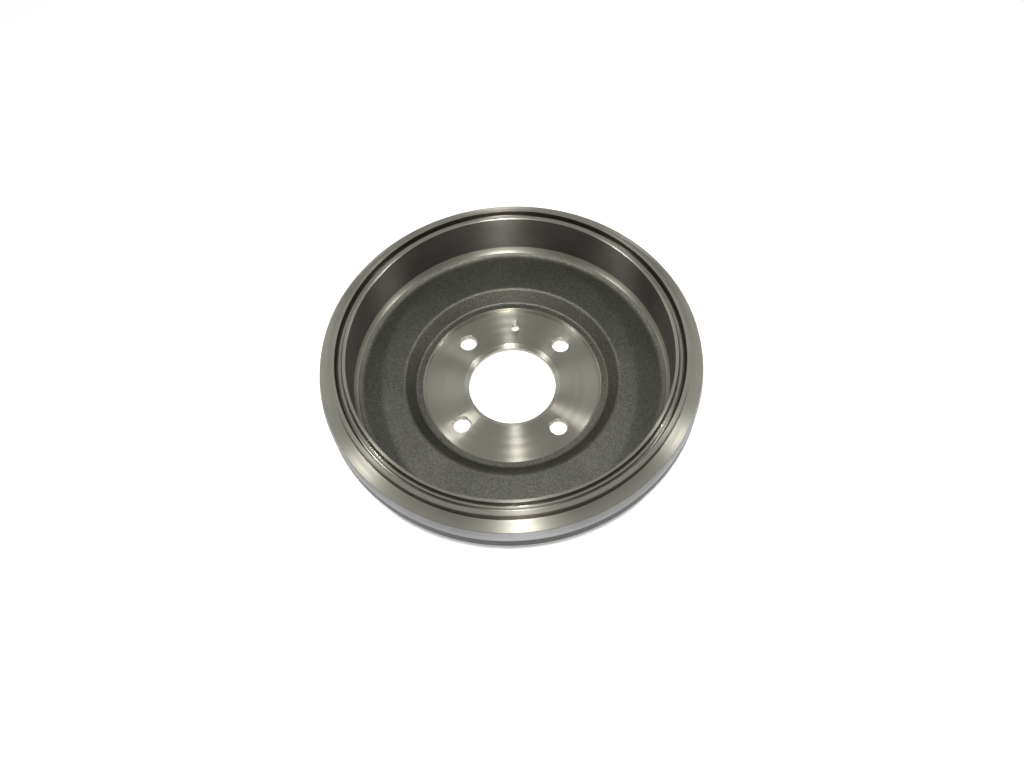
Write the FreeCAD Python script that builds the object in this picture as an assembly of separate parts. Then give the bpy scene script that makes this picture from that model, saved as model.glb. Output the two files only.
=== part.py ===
import FreeCAD, Part
import math
import os

# Rear brake drum: one grey-iron casting, turned on its working faces.
# Frame: Z is the wheel axis, Z = 0 is the turned face that the wheel seats on,
# and the open side with the labyrinth groove faces +Z. Millimetres.

# Hub flange, clamped between the axle flange and the wheel
bore_d = 65.0             # pilot bore on the axle spigot
bore_lead_w = 3.2         # radial width of the lead-in on the axle side
bore_lead_h = 2.0         # its height
bore_edge = 0.5           # broken edge on the wheel side
hub_t = 5.5               # flange thickness
axle_face_d = 132.0       # turned recess that the axle flange seats in
axle_face_depth = 3.0     # depth of that recess below the cast shoulder
shoulder_w = 4.6          # flat cast shoulder round the recess
wheel_face_d = 144.0      # turned seat of the wheel

# Holes through the flange
pcd = 100.0               # pitch circle of all the holes
bolt_count = 4
bolt_hole_d = 13.0
bolt_edge = 0.5           # broken edge at both ends of a wheel bolt hole
first_bolt_deg = 45.0
screw_hole_d = 6.5        # locating screw, midway between two wheel bolts
screw_head_d = 12.0       # its 90 degree countersink, on the wheel side
past = 1.0                # how far the hole cutters reach past the flange

# Cast web and the conical step that carries it
web_rise = 11.3           # web's inner face above the axle face
web_t = 7.0
step_d = 159.0            # crest of the conical step

# Friction ring
friction_d = 230.0
wall_t = 8.0              # thickness at the rim
wall_draft = 1.2          # how much thinner the cast wall is at its foot
foot_leg = 4.1            # cone between the friction wall and the web
foot_ease = 1.4           # chamfer at each end of that cone

# Rim, from the inside out: lip, land, labyrinth groove and guard ring
rim_h = 51.9              # top of the lip above the axle face
lead_w = 0.6              # broken inner edge of the lip
lip_w = 1.6               # flat top of the lip
lip_side_w = 1.6          # its sloping outer side, which falls to the land
land_w = 1.5              # flat land between the lip and the groove
land_drop = 2.3           # how far the land lies below the lip
groove_w = 2.4            # the backing plate's edge runs in this groove
groove_depth = 2.7        # below the land
groove_ease = 0.7         # broken corners of its bottom
guard_w = 3.0             # guard ring outside the groove
guard_drop = 0.3          # how far the guard ring lies below the lip
guard_edge = 0.8          # broken outer edge of its top
guard_h = 7.1             # height of its outer side above the rim face

# Outer flange
rim_face_w = 8.8
rim_face_drop = 0.7
rim_edge_w = 1.2          # steep cone from the rim face to the flange
rim_edge_h = 4.9
flange_h = 20.6           # full height of the flange, from the rim face down
flange_edge = 0.8         # broken lower edge of the flange
flange_root = 2.0         # chamfer where the flange leaves the wall

# Cast corners
shoulder_edge = 2.4
crest_edge = 0.6
step_foot_edge = 2.4
body_r = 9.0

# Levels and radii that follow from them
axle_face_z = hub_t
shoulder_z = axle_face_z + axle_face_depth
web_z = axle_face_z + web_rise
web_back_z = web_z - web_t
lip_z = axle_face_z + rim_h
land_z = lip_z - land_drop
groove_z = land_z - groove_depth
guard_z = lip_z - guard_drop
rim_face_z = guard_z - guard_h
rim_edge_z = rim_face_z - rim_face_drop
flange_z = rim_edge_z - flange_h

bore_r = bore_d / 2
axle_face_r = axle_face_d / 2
shoulder_end_r = axle_face_r + shoulder_w
crest_r = step_d / 2
friction_r = friction_d / 2
lip_out_r = friction_r + lead_w + lip_w
land_in_r = lip_out_r + lip_side_w
groove_in_r = land_in_r + land_w
groove_out_r = groove_in_r + groove_w
guard_out_r = groove_out_r + guard_w
rim_face_r = guard_out_r + rim_face_w
flange_r = rim_face_r + rim_edge_w
wheel_face_r = wheel_face_d / 2
wall_r = friction_r + wall_t
wall_foot_r = wall_r - wall_draft


def back_cone_end():
    """Radius where the cone on the wheel side, parallel to the inner one, meets the web."""
    slope = (web_z - shoulder_z) / (crest_r - shoulder_end_r)
    return wheel_face_r + web_back_z / slope


def sharp(radius, height):
    return point(radius, height), "sharp", 0


def chamfered(radius, height, leg):
    """Corner cut off at the same distance along both sides."""
    return point(radius, height), "chamfered", leg


def rounded(radius, height, corner_r):
    """Corner with a tangent arc."""
    return point(radius, height), "rounded", corner_r


def point(radius, height):
    return FreeCAD.Vector(radius, 0, height)


def profile():
    """Half section as corners, once round the metal."""
    wheel_side = [
        chamfered(bore_r, 0, bore_edge),
        sharp(wheel_face_r, 0),
        chamfered(back_cone_end(), web_back_z, step_foot_edge),
        rounded(wall_foot_r, web_back_z, body_r),
        chamfered(wall_r, flange_z, flange_root),
    ]
    flange = [
        chamfered(flange_r, flange_z, flange_edge),
        sharp(flange_r, rim_edge_z - rim_edge_h),
        sharp(rim_face_r, rim_edge_z),
        sharp(guard_out_r, rim_face_z),
    ]
    groove = [
        chamfered(guard_out_r, guard_z, guard_edge),
        sharp(groove_out_r, guard_z),
        chamfered(groove_out_r, groove_z, groove_ease),
        chamfered(groove_in_r, groove_z, groove_ease),
    ]
    lip = [
        sharp(groove_in_r, land_z),
        sharp(land_in_r, land_z),
        sharp(lip_out_r, lip_z),
        chamfered(friction_r, lip_z, lead_w),
    ]
    inside = [
        chamfered(friction_r, web_z + foot_leg, foot_ease),
        chamfered(friction_r - foot_leg, web_z, foot_ease),
        chamfered(crest_r, web_z, crest_edge),
        chamfered(shoulder_end_r, shoulder_z, shoulder_edge),
        sharp(axle_face_r, shoulder_z),
        sharp(axle_face_r, axle_face_z),
        sharp(bore_r + bore_lead_w, axle_face_z),
        sharp(bore_r, axle_face_z - bore_lead_h),
    ]
    return wheel_side + flange + groove + lip + inside


def eased(before, here, after, ease, size):
    """Start, middle and end of what replaces a corner; the middle is for arcs only."""
    back = (before - here).normalize()
    ahead = (after - here).normalize()
    if ease == "rounded":
        half = back.getAngle(ahead) / 2
        trim = size / math.tan(half)
        inset = size / math.sin(half) - size
        middle = here + (back + ahead).normalize() * inset
        return here + back * trim, middle, here + ahead * trim
    return here + back * size, None, here + ahead * size


def outline(corners):
    """Closed wire of straight runs with each corner eased as asked."""
    bends = []
    for i, (here, ease, size) in enumerate(corners):
        before = corners[i - 1][0]
        after = corners[(i + 1) % len(corners)][0]
        bends.append(eased(before, here, after, ease, size))
    edges = []
    for i, (start, middle, end) in enumerate(bends):
        if middle:
            edges.append(Part.Arc(start, middle, end).toShape())
        elif start != end:
            edges.append(Part.LineSegment(start, end).toShape())
        next_start = bends[(i + 1) % len(bends)][0]
        edges.append(Part.LineSegment(end, next_start).toShape())
    return Part.Wire(edges)


def turned(corners):
    """Solid of revolution about the wheel axis."""
    face = Part.Face(outline(corners))
    return face.revolve(FreeCAD.Vector(0, 0, 0), FreeCAD.Vector(0, 0, 1), 360)


def at_pitch(cutter, degrees):
    """Copy of a cutter made on the axis, moved out to the pitch circle."""
    moved = cutter.copy()
    moved.translate(FreeCAD.Vector(pcd / 2, 0, 0))
    moved.rotate(FreeCAD.Vector(0, 0, 0), FreeCAD.Vector(0, 0, 1), degrees)
    return moved


def bolt_cutter():
    """Wheel bolt hole with a broken edge at both faces."""
    radius = bolt_hole_d / 2
    return turned([
        sharp(0, -past),
        sharp(radius + bolt_edge + past, -past),
        sharp(radius, bolt_edge),
        sharp(radius, axle_face_z - bolt_edge),
        sharp(radius + bolt_edge + past, axle_face_z + past),
        sharp(0, axle_face_z + past),
    ])


def screw_cutter():
    """Locating screw hole, countersunk on the wheel side."""
    radius = screw_hole_d / 2
    head = screw_head_d / 2
    return turned([
        sharp(0, -past),
        sharp(head + past, -past),
        sharp(radius, head - radius),
        sharp(radius, axle_face_z + past),
        sharp(0, axle_face_z + past),
    ])


def brake_drum():
    drum = turned(profile())
    for i in range(bolt_count):
        drum = drum.cut(at_pitch(bolt_cutter(), first_bolt_deg + 360 / bolt_count * i))
    drum = drum.cut(at_pitch(screw_cutter(), first_bolt_deg + 180 / bolt_count))
    return drum


os.makedirs("parts", exist_ok=True)
drum = brake_drum()
print("drum", drum.ShapeType, "solids", len(drum.Solids), "valid", drum.isValid())
print("volume cm3", round(drum.Volume / 1000, 1), "box", drum.BoundBox)
drum.exportStep("parts/drum.step")
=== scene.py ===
import bpy
import bmesh
import math
from mathutils import Matrix, Vector


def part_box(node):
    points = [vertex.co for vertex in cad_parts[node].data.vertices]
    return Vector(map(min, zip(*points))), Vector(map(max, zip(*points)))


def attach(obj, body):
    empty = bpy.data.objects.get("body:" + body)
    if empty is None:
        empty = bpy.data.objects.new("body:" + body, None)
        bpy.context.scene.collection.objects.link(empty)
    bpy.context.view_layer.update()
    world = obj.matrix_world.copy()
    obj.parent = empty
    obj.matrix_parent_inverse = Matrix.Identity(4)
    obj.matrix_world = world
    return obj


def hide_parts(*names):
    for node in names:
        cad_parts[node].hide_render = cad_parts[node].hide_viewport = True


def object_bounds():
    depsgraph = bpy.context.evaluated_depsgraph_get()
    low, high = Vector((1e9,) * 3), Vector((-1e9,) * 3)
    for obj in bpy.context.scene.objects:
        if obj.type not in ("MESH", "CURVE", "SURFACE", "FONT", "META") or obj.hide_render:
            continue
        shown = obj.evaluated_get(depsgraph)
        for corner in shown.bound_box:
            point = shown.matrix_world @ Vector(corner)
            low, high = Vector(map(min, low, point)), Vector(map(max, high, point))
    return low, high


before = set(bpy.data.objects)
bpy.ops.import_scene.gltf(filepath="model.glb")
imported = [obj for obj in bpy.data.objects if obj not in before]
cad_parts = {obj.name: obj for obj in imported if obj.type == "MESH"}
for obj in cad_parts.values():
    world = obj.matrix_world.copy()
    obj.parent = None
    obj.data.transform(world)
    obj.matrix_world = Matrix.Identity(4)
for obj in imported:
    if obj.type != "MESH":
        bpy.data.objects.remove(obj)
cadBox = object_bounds()
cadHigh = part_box("drum")[1]
mm = 0.001
print("frame loaded, drum", [round(v / mm, 1) for v in cadHigh])


def linearColour(code, alpha=1.0):
    parts = [int(code[i:i + 2], 16) / 255 for i in (1, 3, 5)]
    return [p / 12.92 if p <= 0.04045 else ((p + 0.055) / 1.055) ** 2.4 for p in parts] + [alpha]


def addNode(tree, kind, settings=None, links=None):
    # a setting is one of the node's own properties, or the value of an input
    node = tree.nodes.new(kind)
    for key, value in (settings or {}).items():
        if isinstance(key, str) and hasattr(node, key):
            setattr(node, key, value)
        else:
            node.inputs[key].default_value = value
    for key, source in (links or {}).items():
        tree.links.new(source, node.inputs[key])
    return node


def newMaterial(name):
    material = bpy.data.materials.new(name)
    material.use_nodes = True
    material.node_tree.nodes.clear()
    return material, material.node_tree


def finishMaterial(tree, shader):
    addNode(tree, "ShaderNodeOutputMaterial", {}, {"Surface": shader.outputs[0]})


def noiseIn(tree, pitch, coords, **settings):
    # pitch is the size of a patch in mm
    settings["Scale"] = 1 / (pitch * mm)
    return addNode(tree, "ShaderNodeTexNoise", settings, {"Vector": coords.outputs["Object"]})


def noiseAlong(tree, pitch, distance, **settings):
    settings.update({"noise_dimensions": "1D", "Scale": 1 / (pitch * mm)})
    return addNode(tree, "ShaderNodeTexNoise", settings, {"W": distance.outputs[0]})


# Stretches the middle of a noise, where most of its values lie, to the range asked for.
def rescaled(tree, noise, low=0.0, high=1.0, span=(0.3, 0.7)):
    settings = {"From Min": span[0], "From Max": span[1], "To Min": low, "To Max": high}
    return addNode(tree, "ShaderNodeMapRange", settings, {"Value": noise.outputs[0]})


# The mix node has one pair of inputs for each kind of value, known by number only.
mixSockets = {"colourA": 6, "colourB": 7, "colourOut": 2, "valueA": 2, "valueB": 3}


def mixedColour(tree, factor, first, second):
    settings = {
        "data_type": "RGBA",
        mixSockets["colourA"]: linearColour(first), mixSockets["colourB"]: linearColour(second),
    }
    return addNode(tree, "ShaderNodeMix", settings, {0: factor.outputs[0]})


def shadedColour(tree, colour, shade):
    settings = {"data_type": "RGBA", "blend_type": "MULTIPLY", 0: 1.0}
    links = {
        mixSockets["colourA"]: colour.outputs[mixSockets["colourOut"]],
        mixSockets["colourB"]: shade.outputs[0],
    }
    return addNode(tree, "ShaderNodeMix", settings, links)


def bumpFrom(tree, strength, depth, height, under=None):
    # depth in mm; under is the bump that this one lies on
    links = {"Height": height.outputs[0]}
    if under:
        links["Normal"] = under.outputs[0]
    return addNode(tree, "ShaderNodeBump", {"Strength": strength, "Distance": depth * mm}, links)


# Grey cast iron, fine turned and left bare. The cutting tool leaves rings, so each
# light draws out into a streak that runs across them, like the rays on a pan's bottom.
def turnedIron(name, look):
    material, tree = newMaterial(name)
    coords = addNode(tree, "ShaderNodeTexCoord")
    flat = addNode(
        tree, "ShaderNodeVectorMath",
        {"operation": "MULTIPLY", 1: (1, 1, 0)}, {0: coords.outputs["Object"]},
    )
    radius = addNode(tree, "ShaderNodeVectorMath", {"operation": "LENGTH"}, {0: flat.outputs[0]})
    height = addNode(tree, "ShaderNodeSeparateXYZ", {}, {0: coords.outputs["Object"]})
    along = addNode(
        tree, "ShaderNodeMath",
        {"operation": "ADD"}, {0: radius.outputs["Value"], 1: height.outputs["Z"]},
    )
    marks = noiseAlong(tree, look["markPitch"], along, Detail=2.0, Roughness=0.6)
    bands = noiseAlong(tree, look["bandPitch"], along, Detail=1.0)
    grain = noiseIn(tree, look["grain"], coords, Detail=3.0)
    film = noiseIn(tree, look["filmPatch"], coords, Detail=3.0, Roughness=0.55)
    colour = mixedColour(tree, rescaled(tree, film), look["colour"], look["filmColour"])
    tinted = shadedColour(tree, colour, rescaled(tree, marks, 1 - look["ringShade"], 1.0))
    gloss = rescaled(tree, bands, *look["roughness"])
    rings = bumpFrom(tree, look["markStrength"], look["markDepth"], marks)
    pits = bumpFrom(tree, look["grainStrength"], look["markDepth"], grain, rings)
    rays = addNode(tree, "ShaderNodeTangent", {"direction_type": "RADIAL", "axis": "Z"})
    shader = addNode(
        tree, "ShaderNodeBsdfPrincipled",
        {"Metallic": look["metallic"], "Anisotropic": look["anisotropy"], "Anisotropic Rotation": 0.25},
        {
            "Base Color": tinted.outputs[mixSockets["colourOut"]], "Roughness": gloss.outputs[0],
            "Normal": pits.outputs[0], "Tangent": rays.outputs[0],
        },
    )
    finishMaterial(tree, shader)
    return material


# Grey cast iron as it leaves the sand: a dull skin of close grain that scatters light.
def castIron(name, look):
    material, tree = newMaterial(name)
    coords = addNode(tree, "ShaderNodeTexCoord")
    sand = noiseIn(tree, look["grain"], coords, Detail=4.0, Roughness=0.65)
    lumps = noiseIn(tree, look["lump"], coords, Detail=2.0)
    clouds = noiseIn(tree, look["patch"], coords, Detail=3.0)
    mixBy = rescaled(tree, sand, span=(0.35, 0.65))
    colour = mixedColour(tree, mixBy, look["dark"], look["light"])
    tinted = shadedColour(tree, colour, rescaled(tree, clouds, 1 - look["patchShade"], 1.0))
    large = bumpFrom(tree, look["lumpStrength"], look["lumpDepth"], lumps)
    fine = bumpFrom(tree, look["grainStrength"], look["grainDepth"], sand, large)
    shader = addNode(
        tree, "ShaderNodeBsdfPrincipled",
        {"Metallic": look["metallic"], "Roughness": look["roughness"]},
        {"Base Color": tinted.outputs[mixSockets["colourOut"]], "Normal": fine.outputs[0]},
    )
    finishMaterial(tree, shader)
    return material


bareLook = {
    "colour": "#b4b2a6", "filmColour": "#a8a599", "filmPatch": 30.0,
    "metallic": 1.0, "roughness": (0.38, 0.44), "anisotropy": 0.95,
    "markPitch": 0.5,     # real feed is nearer 0.2 mm, drawn coarser so that it shows
    "bandPitch": 4.0, "markDepth": 0.02, "markStrength": 0.25, "ringShade": 0.06,
    "grain": 0.6, "grainStrength": 0.05,
}
# finely faced, so its streaks are narrow and bright
hubLook = dict(bareLook, roughness=(0.29, 0.34))
# duller and a little darker than the hub, which takes the edge off the streaks on the rim
faceLook = dict(
    bareLook, colour="#a8a69b", filmColour="#9d9b90",
    metallic=0.82, roughness=(0.43, 0.48), anisotropy=1.0,
)
# duller than the broad faces, so that the narrow edges don't outshine them
edgeLook = dict(
    bareLook, colour="#84827a", filmColour="#7b7971",
    metallic=0.5, roughness=(0.43, 0.48), anisotropy=1.0,
)
# smoother than the tops, so it mirrors the dark or the light that it faces
slopeLook = dict(
    bareLook, colour="#a9a79c", filmColour="#9d9b91", roughness=(0.2, 0.26), anisotropy=0.9,
)
# cooler than the rim
flangeLook = dict(bareLook, colour="#9b9b9b", filmColour="#909090")
# painted shade: the friction wall is painted dark, so it stays dark between its streaks, and the groove's
# walls are painted browner where the groove hides them from the light
paintedShadeWallLook = dict(
    bareLook, colour="#65625d", filmColour="#5a5752", roughness=(0.43, 0.49), anisotropy=1.0,
)
# painted shade: brown-dark on the thin line at the rim face's edge, the guard's outer wall, and the
# groove's outer wall and floor
paintedShadeGrooveLook = dict(bareLook, colour="#625d55", filmColour="#57524b", roughness=(0.3, 0.36))
castLook = {
    "dark": "#50504a", "light": "#77766e", "metallic": 0.9, "roughness": 0.46,
    "grain": 0.9, "grainDepth": 0.25, "grainStrength": 0.7,
    "lump": 6.0, "lumpDepth": 0.4, "lumpStrength": 0.5, "patch": 45.0, "patchShade": 0.2,
}
# the same skin on the step, painted darker as painted shade where the step turns away from the lamps
paintedShadeConeLook = dict(castLook, dark="#403f3a", light="#605f56")
shoulderLook = dict(castLook, dark="#4e4d47", light="#76756d")
# almost black and brown, with little shine: a painted reflection of the shaded floor under the drum, on
# the lower band of the flange
paintedReflectionBandLook = dict(castLook, dark="#1a130d", light="#2c221a", metallic=0.3)
finishes = {
    "turned": turnedIron("grey_iron_fine_turned", bareLook),
    "hub": turnedIron("grey_iron_faced_hub", hubLook),
    "face": turnedIron("grey_iron_faced_rim", faceLook),
    "edge": turnedIron("grey_iron_turned_edges", edgeLook),
    "flange": turnedIron("grey_iron_turned_flange", flangeLook),
    "slope": turnedIron("grey_iron_lip_side", slopeLook),
    "wall": turnedIron("grey_iron_friction_wall_painted_shade", paintedShadeWallLook),
    "shade": turnedIron("grey_iron_groove_wall_painted_shade", paintedShadeGrooveLook),
    "cast": castIron("grey_iron_as_cast", castLook),
    "shoulder": castIron("grey_iron_as_cast_shoulder", shoulderLook),
    "cone": castIron("grey_iron_as_cast_step_painted_shade", paintedShadeConeLook),
    "band": castIron("grey_iron_cast_edge_painted_dark_reflection", paintedReflectionBandLook),
}
finishOrder = list(finishes)
print("materials made", finishOrder)


# Pieces of an arc at a rounded corner, and the rounding in mm from which it gets the finer one
arcSteps = {"small": 3, "large": 8, "largeFrom": 1}


# Outline points of a turned form, with a tangent arc at each rounded corner.
# A corner is radius, height, rounding and the finish of the run that follows it, in mm.
def easedOutline(corners):
    points = []
    for index, (radius, height, rounding, finish) in enumerate(corners):
        here = Vector((radius, height))
        back = (Vector(corners[index - 1][:2]) - here).normalized()
        ahead = (Vector(corners[(index + 1) % len(corners)][:2]) - here).normalized()
        if not rounding:
            points.append((here, finish))
            continue
        half = back.angle(ahead) / 2
        centre = here + (back + ahead).normalized() * rounding / math.sin(half)
        start = here + back * rounding / math.tan(half) - centre
        end = here + ahead * rounding / math.tan(half) - centre
        steps = arcSteps["small"] if rounding < arcSteps["largeFrom"] else arcSteps["large"]
        for step in range(steps + 1):
            points.append((centre + start.lerp(end, step / steps).normalized() * rounding, finish))
    return points


def turnedForm(bm, corners, segments, centre=(0, 0)):
    outline = easedOutline(corners)
    rings = []
    for step in range(segments):
        angle = 2 * math.pi * step / segments
        across, along = math.cos(angle), math.sin(angle)
        rings.append([
            bm.verts.new((centre[0] * mm + p.x * mm * across, centre[1] * mm + p.x * mm * along, p.y * mm))
            for p, finish in outline
        ])
    for step in range(segments):
        here, following = rings[step], rings[(step + 1) % segments]
        for i, (p, finish) in enumerate(outline):
            j = (i + 1) % len(outline)
            if p.x == 0 and outline[j][0].x == 0:
                continue
            face = bm.faces.new((here[i], following[i], following[j], here[j]))
            face.material_index = finishOrder.index(finish)
            face.smooth = True


mergeGap = 0.001    # mm, joins the points that meet on the axis


def meshPiece(name, bm):
    bmesh.ops.remove_doubles(bm, verts=bm.verts, dist=mergeGap * mm)
    bmesh.ops.recalc_face_normals(bm, faces=bm.faces)
    mesh = bpy.data.meshes.new(name)
    bm.to_mesh(mesh)
    bm.free()
    for finish in finishOrder:
        mesh.materials.append(finishes[finish])
    piece = bpy.data.objects.new(name, mesh)
    bpy.context.scene.collection.objects.link(piece)
    return piece


# The drum's half section in mm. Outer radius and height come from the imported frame.
# Names that end in R are radii, in Z heights, in W widths, and in Round roundings.
drumShape = {
    "boreR": 32.5, "boreBreak": 0.5, "boreLead": 3.2, "boreLeadH": 2.0,
    "hubT": 5.5, "axleFaceR": 66.0, "shoulderZ": 8.5, "shoulderR": 70.6,
    "wheelFaceR": 72.0, "backConeR": 82.1, "backZ": 9.8,
    "crestR": 79.5, "crestSkin": 1.8, "webZ": 16.8,
    "frictionR": 115.0, "footLeg": 4.1, "wallR": 123.0, "wallFootR": 121.8,
    "flangeH": 20.6, "flangeEdge": 0.8, "castBandH": 9.5,
    "rimLineH": 0.6, "rimEdge": (1.2, 4.9), "rimFace": (8.8, 0.7),
    "guardH": 7.1, "guardW": 3.0, "guardDrop": 0.3, "guardEdge": 0.8,
    "grooveW": 2.4, "grooveDepth": 2.7, "landW": 1.0, "landDrop": 2.3,
    "notchW": 0.5, "notchDrop": 0.35, "lipSideW": 1.6, "lead": 0.6,
    "edgeRound": 0.15, "fineRound": 0.2, "cornerRound": 0.3, "guardRound": 0.4, "landRound": 0.4,
    "seatRound": 0.6, "grooveRound": 1.1, "castRound": 3.0, "flangeRound": 3.0,
    "backRound": 6.0, "footRound": 6.9, "bodyRound": 9.0,
    "segments": 384,
}


def drumCorners(shape):
    flangeR, topZ = cadHigh[0] / mm, cadHigh[2] / mm
    guardZ, landZ = topZ - shape["guardDrop"], topZ - shape["landDrop"]
    faceZ = guardZ - shape["guardH"]
    rimZ = faceZ - shape["rimFace"][1]
    flangeZ = rimZ - shape["flangeH"]
    rimR = flangeR - shape["rimEdge"][0]
    rimLineW = shape["rimLineH"] * shape["rimEdge"][0] / shape["rimEdge"][1]
    guardR = rimR - shape["rimFace"][0]
    grooveOut = guardR - shape["guardW"]
    grooveIn = grooveOut - shape["grooveW"]
    grooveZ = landZ - shape["grooveDepth"]
    landR = grooveIn - shape["landW"]
    lipFootR = landR - shape["notchW"]
    lipR = lipFootR - shape["lipSideW"]
    frictionR, webZ = shape["frictionR"], shape["webZ"]
    edge, fine = shape["edgeRound"], shape["fineRound"]
    stepSide = Vector((shape["crestR"] - shape["shoulderR"], webZ - shape["shoulderZ"]))
    crestSide = stepSide.normalized() * shape["crestSkin"]
    wheelSide = [
        (shape["boreR"], shape["boreBreak"], edge, "turned"),
        (shape["boreR"] + shape["boreBreak"], 0, edge, "turned"),
        (shape["wheelFaceR"], 0, shape["seatRound"], "cast"),
        (shape["backConeR"], shape["backZ"], shape["backRound"], "cast"),
        (shape["wallFootR"], shape["backZ"], shape["bodyRound"], "cast"),
        (shape["wallR"], flangeZ, shape["flangeRound"], "cast"),
    ]
    flange = [
        (flangeR - shape["flangeEdge"], flangeZ, shape["cornerRound"], "band"),
        (flangeR, flangeZ + shape["flangeEdge"], edge, "band"),
        (flangeR, flangeZ + shape["castBandH"], 0, "flange"),
        (flangeR, rimZ - shape["rimEdge"][1], shape["cornerRound"], "flange"),
        (rimR + rimLineW, rimZ - shape["rimLineH"], 0, "shade"),
        (rimR, rimZ, edge, "face"),
        (guardR, faceZ, shape["guardRound"], "shade"),
    ]
    groove = [
        (guardR, guardZ - shape["guardEdge"], fine, "edge"),
        (guardR - shape["guardEdge"], guardZ, fine, "edge"),
        (grooveOut, guardZ, edge, "shade"),
        (grooveOut, grooveZ, shape["grooveRound"], "shade"),
        (grooveIn, grooveZ, shape["grooveRound"], "turned"),
    ]
    lip = [
        (grooveIn, landZ, shape["landRound"], "edge"),
        (landR, landZ, shape["landRound"], "edge"),
        (lipFootR, landZ - shape["notchDrop"], edge, "slope"),
        (lipR, topZ, edge, "edge"),
        (frictionR + shape["lead"], topZ, fine, "turned"),
        (frictionR, topZ - shape["lead"], edge, "wall"),
    ]
    inside = [
        (frictionR, webZ + shape["footLeg"], shape["footRound"], "turned"),
        (frictionR - shape["footLeg"], webZ, shape["footRound"], "cast"),
        (shape["crestR"], webZ, shape["castRound"], "shoulder"),
        (shape["crestR"] - crestSide.x, webZ - crestSide.y, 0, "cone"),
        (shape["shoulderR"], shape["shoulderZ"], shape["castRound"], "shoulder"),
        (shape["axleFaceR"], shape["shoulderZ"], shape["cornerRound"], "turned"),
        (shape["axleFaceR"], shape["hubT"], edge, "hub"),
        (shape["boreR"] + shape["boreLead"], shape["hubT"], edge, "turned"),
        (shape["boreR"], shape["hubT"] - shape["boreLeadH"], edge, "turned"),
    ]
    return wheelSide + flange + groove + lip + inside


holeShape = {
    "pitchR": 50.0, "boltR": 6.5, "boltEdge": 0.5, "boltAngles": (45, 135, 225, 315),
    "screwR": 3.25, "screwHeadR": 6.0, "screwAngle": 90, "past": 1.0, "segments": 72,
}


# Through holes in the hub: four for wheel bolts and a countersunk one for the locating screw
def cutHoles(piece, shape):
    past, top = shape["past"], drumShape["hubT"]
    boltR, edge = shape["boltR"], shape["boltEdge"]
    screwR, headR = shape["screwR"], shape["screwHeadR"]
    boltOutline = [
        (0, -past), (boltR + edge + past, -past), (boltR, edge),
        (boltR, top - edge), (boltR + edge + past, top + past), (0, top + past),
    ]
    screwOutline = [
        (0, -past), (headR + past, -past), (screwR, headR - screwR),
        (screwR, top + past), (0, top + past),
    ]
    bm = bmesh.new()
    for degrees in shape["boltAngles"] + (shape["screwAngle"],):
        outline = screwOutline if degrees == shape["screwAngle"] else boltOutline
        turn = math.radians(degrees)
        centre = (shape["pitchR"] * math.cos(turn), shape["pitchR"] * math.sin(turn))
        turnedForm(bm, [(r, z, 0, "turned") for r, z in outline], shape["segments"], centre)
    cutter = meshPiece("hole_cutter", bm)
    holes = piece.modifiers.new("holes", "BOOLEAN")
    holes.operation, holes.solver, holes.object = "DIFFERENCE", "EXACT", cutter
    return cutter


areaWeight = 90    # above 50, large faces pull the normals they share


def settleMesh(piece):
    # large faces keep flat shading right up to their small rounded edges
    normals = piece.modifiers.new("normals", "WEIGHTED_NORMAL")
    normals.mode, normals.weight, normals.keep_sharp = "FACE_AREA", areaWeight, True
    depsgraph = bpy.context.evaluated_depsgraph_get()
    mesh = bpy.data.meshes.new_from_object(
        piece.evaluated_get(depsgraph), preserve_all_data_layers=True, depsgraph=depsgraph,
    )
    piece.modifiers.clear()
    piece.data = mesh


bm = bmesh.new()
turnedForm(bm, drumCorners(drumShape), drumShape["segments"])
drum = meshPiece("brake_drum", bm)
cutter = cutHoles(drum, holeShape)
settleMesh(drum)
bpy.data.objects.remove(cutter)
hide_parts("drum")
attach(drum, "root")
print("drum turned,", len(drum.data.polygons), "faces, slots", [m.name for m in drum.data.materials])


# Studio: a white light table, three small lamps close by in front and at both sides, and
# two wide softboxes behind. Angles in degrees, distances and sizes in metres.
studio = {
    "floor": "#fafafa", "floorRoughness": 0.7, "floorGlow": 0.27, "floorSize": 12.0,
    "ambient": "#ffffff", "ambientStrength": 0.43,
    "horizonStrength": 0.06, "horizonRise": 0.3, "backdrop": 0.9,
    "softboxes": [
        {
            "name": "front", "azimuth": -84, "elevation": 63, "distance": 0.72,
            "size": (0.03, 0.03), "watts": 3.1,
        },
        {
            "name": "left", "azimuth": 184.5, "elevation": 54, "distance": 0.51,
            "size": (0.03, 0.03), "watts": 0.66,
        },
        {
            "name": "right", "azimuth": 7.5, "elevation": 49.5, "distance": 0.49,
            "size": (0.03, 0.03), "watts": 0.57,
        },
        {
            "name": "back_left", "azimuth": 150, "elevation": 35, "distance": 2.0,
            "size": (1.0, 0.6), "watts": 4.6,
        },
        {
            "name": "back_right", "azimuth": 40, "elevation": 38, "distance": 2.0,
            "size": (1.0, 0.6), "watts": 4.1,
        },
        # what the far wall throws back onto the web
        {
            "name": "wall_glow", "azimuth": 96, "elevation": 3, "distance": 0.108,
            "size": (0.03, 0.02), "watts": 0.004, "seen": False,
        },
    ],
}


def tableTop(settings):
    # opal acrylic lit from beneath, which leaves only a trace of the shadows
    material, tree = newMaterial("opal_acrylic_light_table")
    shader = addNode(tree, "ShaderNodeBsdfPrincipled", {
        "Base Color": linearColour(settings["floor"]), "Roughness": settings["floorRoughness"],
        "Emission Color": linearColour(settings["floor"]), "Emission Strength": settings["floorGlow"],
    })
    finishMaterial(tree, shader)
    mesh = bpy.data.meshes.new("floor")
    half = settings["floorSize"] / 2
    corners = [(-half, -half, 0), (half, -half, 0), (half, half, 0), (-half, half, 0)]
    mesh.from_pydata(corners, [], [(0, 1, 2, 3)])
    mesh.materials.append(material)
    floor = bpy.data.objects.new("floor", mesh)
    floor.location.z = cadBox[0][2]
    bpy.context.scene.collection.objects.link(floor)


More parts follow.
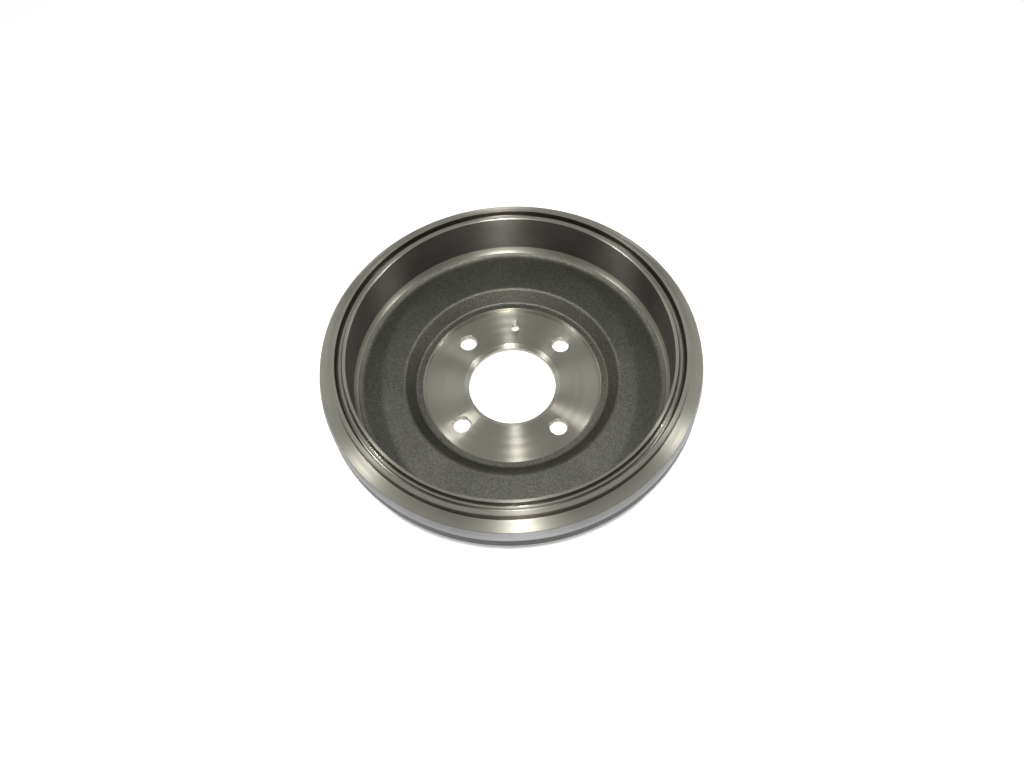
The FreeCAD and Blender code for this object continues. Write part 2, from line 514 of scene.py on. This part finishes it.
def softbox(settings, aim):
    light = bpy.data.lights.new(settings["name"], "AREA")
    light.shape = "RECTANGLE"
    light.size, light.size_y = settings["size"]
    light.energy = settings["watts"]
    lamp = bpy.data.objects.new(settings["name"], light)
    lamp.visible_camera, lamp.visible_glossy = False, settings.get("seen", True)
    azimuth, elevation = math.radians(settings["azimuth"]), math.radians(settings["elevation"])
    level = math.cos(elevation)
    direction = Vector((math.cos(azimuth) * level, math.sin(azimuth) * level, math.sin(elevation)))
    lamp.location = aim + direction * settings["distance"]
    lamp.rotation_euler = direction.to_track_quat("Z", "Y").to_euler()
    bpy.context.scene.collection.objects.link(lamp)


# White ceiling and walls that fall off to a dark room at table height
def studioRoom(settings):
    world = bpy.data.worlds.new("studio")
    world.use_nodes = True
    tree = world.node_tree
    tree.nodes.clear()
    coords = addNode(tree, "ShaderNodeTexCoord")
    height = addNode(tree, "ShaderNodeSeparateXYZ", {}, {0: coords.outputs["Generated"]})
    strength = addNode(
        tree, "ShaderNodeMapRange",
        {
            "From Min": 0.0, "From Max": settings["horizonRise"],
            "To Min": settings["horizonStrength"], "To Max": settings["ambientStrength"],
        },
        {"Value": height.outputs["Z"]},
    )
    # seen straight on, the room is a plain pale backdrop
    sight = addNode(tree, "ShaderNodeLightPath")
    shown = addNode(
        tree, "ShaderNodeMix", {"data_type": "FLOAT", mixSockets["valueB"]: settings["backdrop"]},
        {0: sight.outputs["Is Camera Ray"], mixSockets["valueA"]: strength.outputs[0]},
    )
    room = addNode(
        tree, "ShaderNodeBackground",
        {"Color": linearColour(settings["ambient"])}, {"Strength": shown.outputs[0]},
    )
    addNode(tree, "ShaderNodeOutputWorld", {}, {"Surface": room.outputs[0]})
    bpy.context.scene.world = world


# on the wheel axis, at half the height of the rim
middle = (Vector(cadBox[0]) + Vector(cadBox[1])) / 2
middle.z = cadBox[1][2] / 2
tableTop(studio)
for box in studio["softboxes"]:
    softbox(box, middle)
studioRoom(studio)
bpy.context.scene.view_settings.view_transform = "Standard"
print("studio lit")


cameraPlace = {
    "distance": 0.665, "elevation": 59.9, "turn": 6.19, "roll": -4.17, "lens": 31.28, "sensor": 36.0,
    # mm from the wheel axis, before the turn, and the height of the axle face
    "aim": (-0.22, -1.36), "aimHeight": 5.5,
}


def placeCamera(settings):
    camera = bpy.data.cameras.new("camera")
    camera.lens, camera.sensor_width = settings["lens"], settings["sensor"]
    elevation, roll = math.radians(settings["elevation"]), math.radians(settings["roll"])
    turn = Matrix.Rotation(math.radians(settings["turn"]), 3, "Z")
    back = turn @ Vector((0, -math.cos(elevation), math.sin(elevation)))
    level = turn @ Vector((1, 0, 0))
    rise = back.cross(level)
    right = level * math.cos(roll) + rise * math.sin(roll)
    up = rise * math.cos(roll) - level * math.sin(roll)
    aim = turn @ Vector((settings["aim"][0], settings["aim"][1], 0)) * mm
    aim += Vector((middle.x, middle.y, cadBox[0][2] + settings["aimHeight"] * mm))
    holder = bpy.data.objects.new("camera", camera)
    bpy.context.scene.collection.objects.link(holder)
    axes = Matrix((right, up, back)).transposed().to_4x4()
    holder.matrix_world = Matrix.Translation(aim + back * settings["distance"]) @ axes
    bpy.context.scene.camera = holder


placeCamera(cameraPlace)
print("camera placed")
